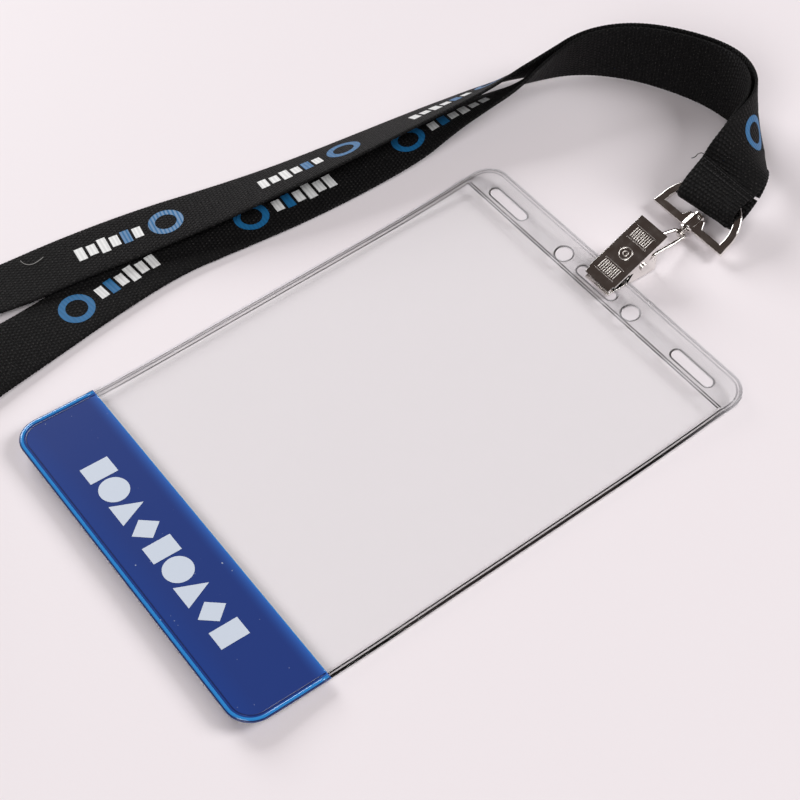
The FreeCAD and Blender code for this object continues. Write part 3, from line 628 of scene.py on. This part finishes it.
def ridge(name, line, half_wide, tall, material, closed=False, body="pouch"):
    """Low rounded bead along (x, y, level) points on the curled sheet, in millimetres."""
    places = np.array([(x, y, sheet_height(y, level)) for x, y, level in line], float)
    if closed:
        ahead = np.roll(places, -1, axis=0) - np.roll(places, 1, axis=0)
    else:
        ahead = np.gradient(places, axis=0)
    ahead[:, 2] = 0
    ahead = unit(ahead)
    side = np.stack([-ahead[:, 1], ahead[:, 0], np.zeros(len(ahead))], axis=1)
    shape = [(-1.0, -0.06), (-0.72, 0.62), (-0.3, 0.95), (0.3, 0.95), (0.72, 0.62), (1.0, -0.06)]
    rows = [places + side * (a * half_wide) + np.array([0, 0, 1.0]) * (b * tall) for a, b in shape]
    spots = np.stack(rows, axis=1).reshape(-1, 3) * MM
    count, total = len(shape), len(places)
    faces = []
    for i in range(total if closed else total - 1):
        here, following = i * count, ((i + 1) % total) * count
        for k in range(count):
            after = (k + 1) % count
            faces.append((here + k, here + after, following + after, following + k))
    if not closed:
        faces += [tuple(range(count))[::-1], tuple(range((total - 1) * count, total * count))]
    return add_piece(name, spots, faces, material, body)


def rounded_border(inset, low, high, level, corners):
    """Border line inset from the pouch's edge, from the low end to the high end of the pouch."""
    wide = HALF_WIDE - inset
    radius = CORNER - inset
    points = []

    def run(x0, y0, x1, y1, step=2.0):
        count = max(2, int(math.hypot(x1 - x0, y1 - y0) / step))
        for k in range(count):
            points.append((x0 + (x1 - x0) * k / count, y0 + (y1 - y0) * k / count))

    def arc(x, y, first):
        for k in range(12):
            a = math.radians(first + 90 * k / 12)
            points.append((x + radius * math.cos(a), y + radius * math.sin(a)))

    foot, head = -HALF_LONG + inset, HALF_LONG - inset
    if "foot" in corners:
        run(-wide, high, -wide, foot + radius)
        arc(-wide + radius, foot + radius, 180)
        run(-wide + radius, foot, wide - radius, foot)
        arc(wide - radius, foot + radius, 270)
        run(wide, foot + radius, wide, high)
        points.append((wide, high))
    else:
        run(wide, low, wide, head - radius)
        arc(wide - radius, head - radius, 0)
        run(wide - radius, head, -wide + radius, head)
        arc(-wide + radius, head - radius, 90)
        run(-wide, head - radius, -wide, low)
        points.append((-wide, low))
    return [(x, y, level(y) if callable(level) else level) for x, y in points]


def clear_level(y):
    """Top of the clear sheets: it steps down from the front sheet to the header strip."""
    share = min(max((y - MOUTH_EDGE + 0.6) / 1.4, 0), 1)
    return TOP_FRONT + (TOP_HEADER - TOP_FRONT) * share


ridge("weld_outer", rounded_border(0.5, BAND_EDGE, 0, clear_level, ("head",)), 0.42, 0.34,
      FILM_WELD)
ridge("weld_inner", rounded_border(1.55, BAND_EDGE, 0, clear_level, ("head",)), 0.2, 0.16,
      FILM_WELD)
ridge("band_bead", rounded_border(0.75, 0, BAND_EDGE - 0.3, TOP_BAND, ("foot",)), 0.55, 0.36,
      BAND_BEAD)
ridge("band_rim", rounded_border(0.2, 0, BAND_EDGE - 0.3, TOP_BAND, ("foot",)), 0.22, 0.16,
      BAND_LINE)
ridge("band_groove", rounded_border(1.9, 0, BAND_EDGE - 0.3, TOP_BAND, ("foot",)), 0.2, 0.07,
      BAND_LINE)
# Thin lighter-blue line along the band's free edge: a painted highlight of the glowing edge, in the bead's
# colour.
ridge("band_lip", [(x, BAND_EDGE - 0.12, TOP_BAND) for x in np.linspace(-55, 55, 56)], 0.16, 0.08,
      BAND_BEAD)
ridge("mouth_lip", [(x, MOUTH_EDGE - 0.25, TOP_FRONT) for x in np.linspace(-54.6, 54.6, 56)], 0.2, 0.12,
      FILM_WELD)
ridge("header_lip", [(x, HEADER_EDGE + 0.25, TOP_HEADER) for x in np.linspace(-54.6, 54.6, 56)], 0.2, 0.12,
      FILM_WELD)


def slot_line(x, half_span, half_wide, level):
    points = []
    for sense in (1, -1):
        centre = x + sense * (half_span - half_wide)
        for k in range(13):
            a = math.radians(-90 + 180 * k / 12)
            points.append((centre + sense * half_wide * math.cos(a),
                           HOLE_ROW + sense * half_wide * math.sin(a), level))
    return points


def circle_line(x, radius, level):
    return [(x + radius * math.cos(a), HOLE_ROW + radius * math.sin(a), level)
            for a in np.arange(40) * 2 * math.pi / 40]


for number, x in enumerate((-40.0, 0.0, 40.0)):
    ridge("slot_rim_%d" % number, slot_line(x, 7.7 + 0.3, 1.8, TOP_HEADER), 0.26, 0.2,
          FILM_WELD, closed=True)
for number, x in enumerate((-14.5, 14.5)):
    ridge("hole_rim_%d" % number, circle_line(x, 2.8, TOP_HEADER), 0.26, 0.2,
          FILM_WELD, closed=True)


# ---------------------------------------------------------------- marks on the band

MARK_TALL = 8.4
MARK_ROW = -70.5


def regular(x, count, radius, turn):
    return [(x + radius * math.cos(turn + 2 * math.pi * k / count),
             MARK_ROW + radius * math.sin(turn + 2 * math.pi * k / count)) for k in range(count)]


def band_marks():
    """Row of nine plain shapes printed on the band."""
    spots, faces = [], []
    half = MARK_TALL / 2
    kinds = ("square", "disc", "triangle", "diamond", "square", "disc", "triangle", "diamond", "square")
    for k, kind in enumerate(kinds):
        x = (k - 4) * 7.9
        if kind == "disc":
            shape = regular(x, 40, half, 0)
        elif kind == "triangle":
            shape = [(x - half * 0.9, MARK_ROW - half), (x + half * 0.9, MARK_ROW - half),
                     (x, MARK_ROW + half)]
        elif kind == "diamond":
            shape = [(x - half * 0.85, MARK_ROW), (x, MARK_ROW - half), (x + half * 0.85, MARK_ROW),
                     (x, MARK_ROW + half)]
        else:
            shape = [(x - half * 0.7, MARK_ROW - half), (x + half * 0.7, MARK_ROW - half),
                     (x + half * 0.7, MARK_ROW + half), (x - half * 0.7, MARK_ROW + half)]
        base = len(spots)
        spots += [(px * MM, py * MM, (sheet_height(py, TOP_BAND) + 0.05) * MM) for px, py in shape]
        faces.append(tuple(range(base, base + len(shape))))
    return add_piece("band_marks", spots, faces, MARK_INK, "pouch")


band_marks()

# ---------------------------------------------------------------- table

bpy.ops.mesh.primitive_plane_add(size=8, location=(0, 0, -0.0003))
floor = bpy.context.object
floor.name = "table"
floor.data.materials.append(table_top())
